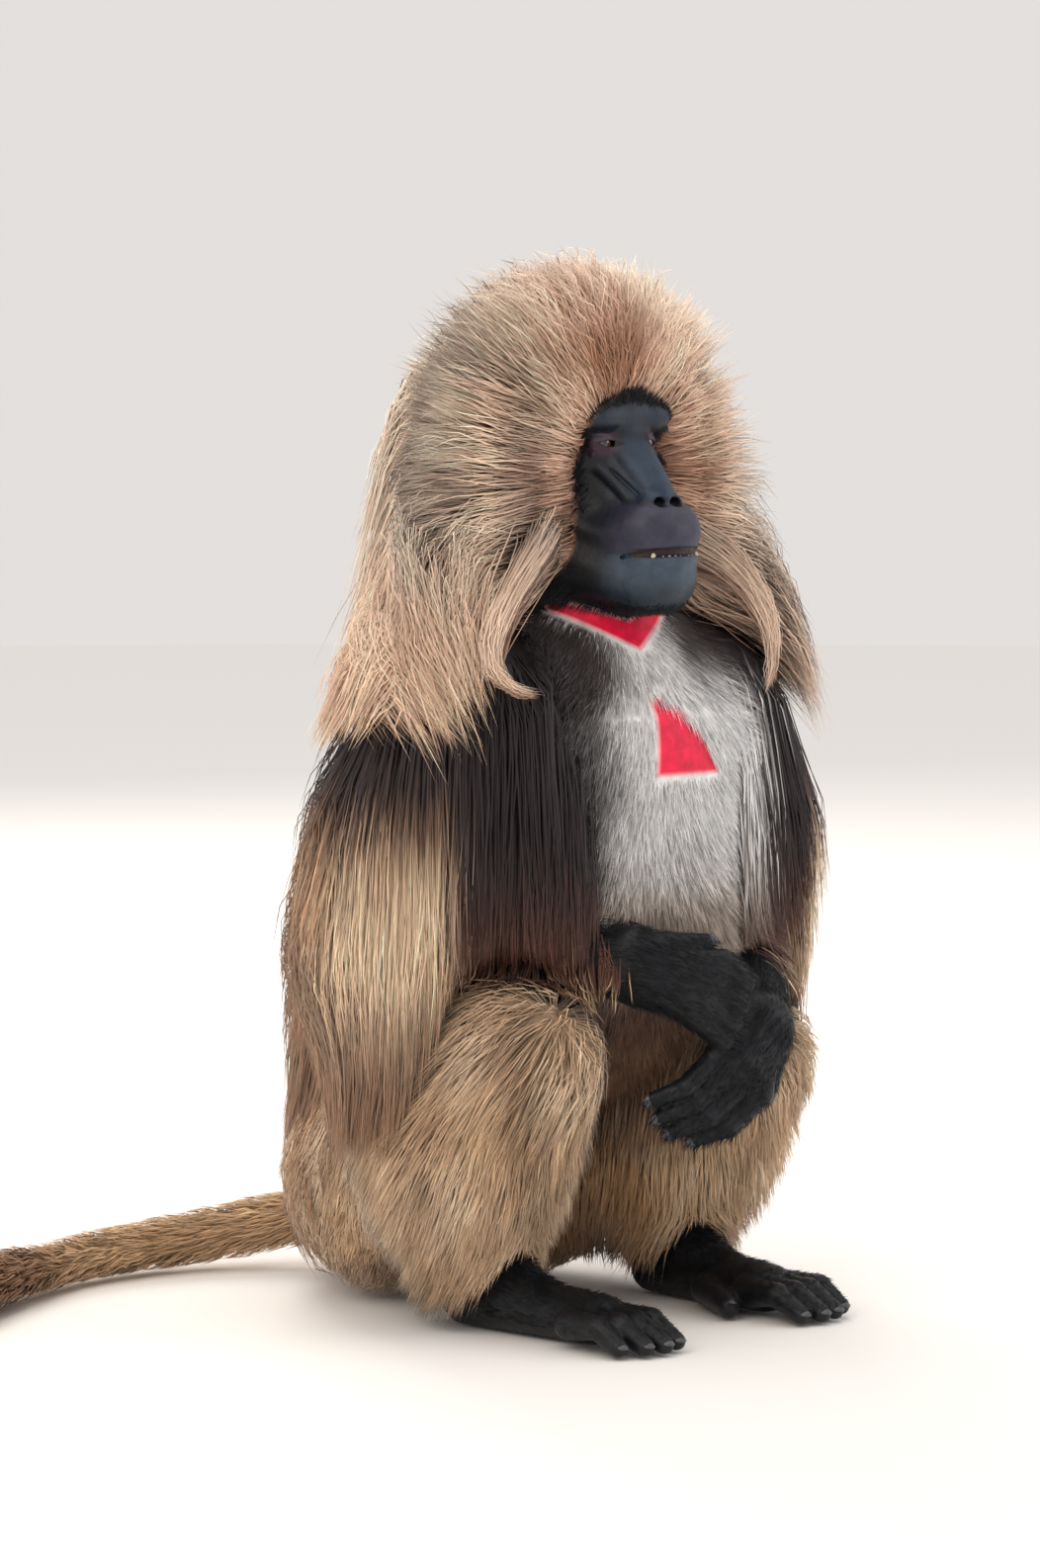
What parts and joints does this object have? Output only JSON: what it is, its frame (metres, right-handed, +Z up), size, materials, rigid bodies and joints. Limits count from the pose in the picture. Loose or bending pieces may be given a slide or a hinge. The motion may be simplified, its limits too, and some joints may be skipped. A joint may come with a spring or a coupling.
{
  "type": "gelada",
  "caption": "Adult male gelada, life-size still model, sitting upright on its haunches with its hands crossed in its lap.",
  "frame": {"origin": "middle of the seat, on the floor", "axes": "+Z up, the animal faces -Y, +X is its left side"},
  "size_m": [0.6791, 0.5506, 0.7866],
  "materials": {
    "face_skin": "bare blue-black skin",
    "eye_brown": "wet, glossy",
    "mane_hair": "long cream and buff hair",
    "cape_hair": "long dark brown hair",
    "chest_hair": "short grey-white hair",
    "buff_hair": "dense buff-brown hair",
    "black_hair": "short black hair"
  },
  "bodies": {
    "root": {"head": "face_skin", "eye_left": "eye_brown", "eye_right": "eye_brown", "mane_crown": "mane_hair", "mane_left": "mane_hair", "mane_right": "mane_hair", "mane_nape": "mane_hair", "neck": "black_hair", "trunk": "chest_hair", "cape_back": "cape_hair", "upper_arm_left": "cape_hair", "upper_arm_right": "cape_hair", "forearm_left": "black_hair", "forearm_right": "black_hair", "hand_left": "black_hair", "hand_right": "black_hair", "thigh_left": "buff_hair", "thigh_right": "buff_hair", "shank_left": "buff_hair", "shank_right": "buff_hair", "foot_left": "black_hair", "foot_right": "black_hair", "tail_base": "buff_hair", "tail_middle": "buff_hair", "tail_tuft": "buff_hair"}
  },
  "joints": []
}
